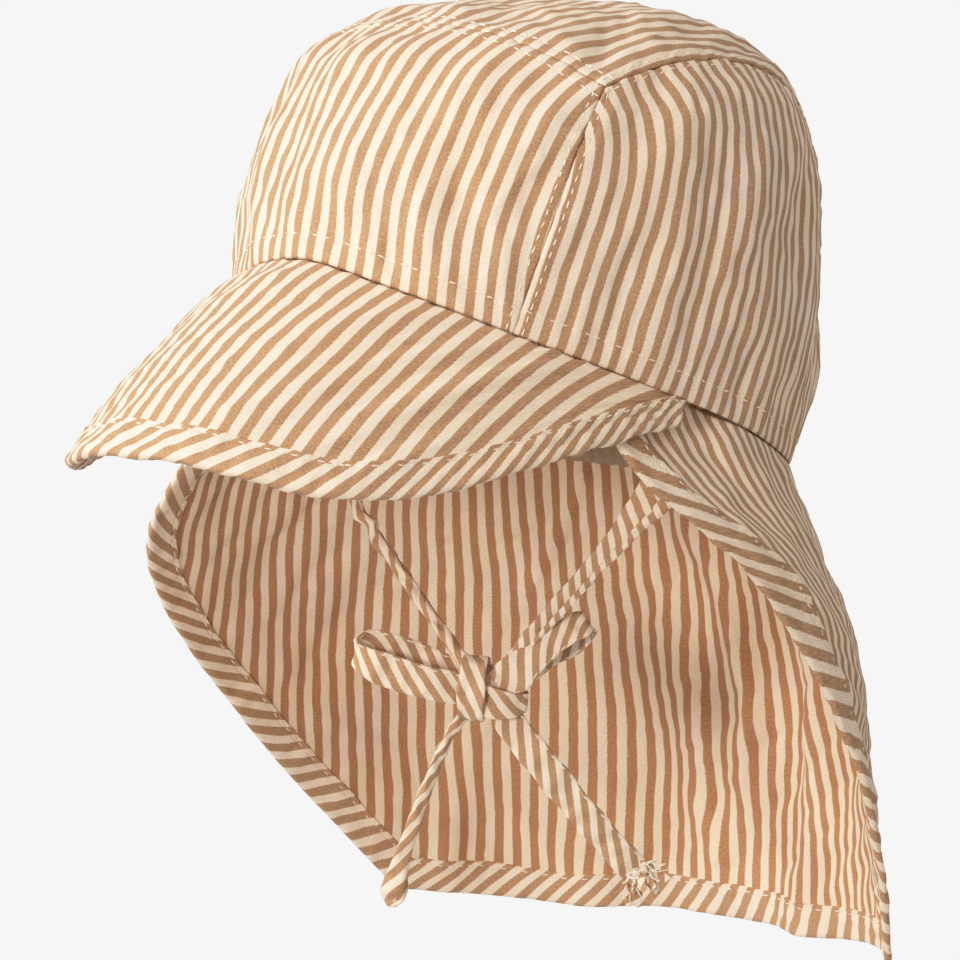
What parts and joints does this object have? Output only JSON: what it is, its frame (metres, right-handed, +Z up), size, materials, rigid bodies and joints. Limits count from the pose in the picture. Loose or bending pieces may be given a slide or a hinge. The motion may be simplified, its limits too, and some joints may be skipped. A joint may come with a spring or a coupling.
{
  "type": "sun hat",
  "caption": "Child's striped cotton sun hat with a soft peak, a long neck flap bound along its edges and a chin tie fastened in a bow.",
  "frame": {"origin": "middle of the head at the height of the hat's rim, where the crown sits on the head", "axes": "+Z up along the head, -Y forwards the way the wearer looks, +X to the wearer's left"},
  "size_m": [0.2082, 0.2637, 0.2981],
  "materials": {
    "striped_cloth": "woven cotton with narrow brown and cream stripes, matt",
    "bias_cloth": "the same striped cotton cut slantwise and folded double, matt",
    "casing_cloth": "plain beige cotton gathered over elastic, matt"
  },
  "bodies": {
    "root": {"front_panel": "striped_cloth", "top_panel": "striped_cloth", "side_panel_left": "striped_cloth", "side_panel_right": "striped_cloth", "peak": "striped_cloth", "peak_binding": "bias_cloth", "neck_flap": "striped_cloth", "flap_binding": "bias_cloth", "elastic_casing": "casing_cloth", "tie_left": "bias_cloth", "tie_right": "bias_cloth", "knot": "bias_cloth", "bow_loop_left": "bias_cloth", "bow_loop_right": "bias_cloth", "tail_left": "bias_cloth", "tail_right": "bias_cloth"}
  },
  "joints": []
}
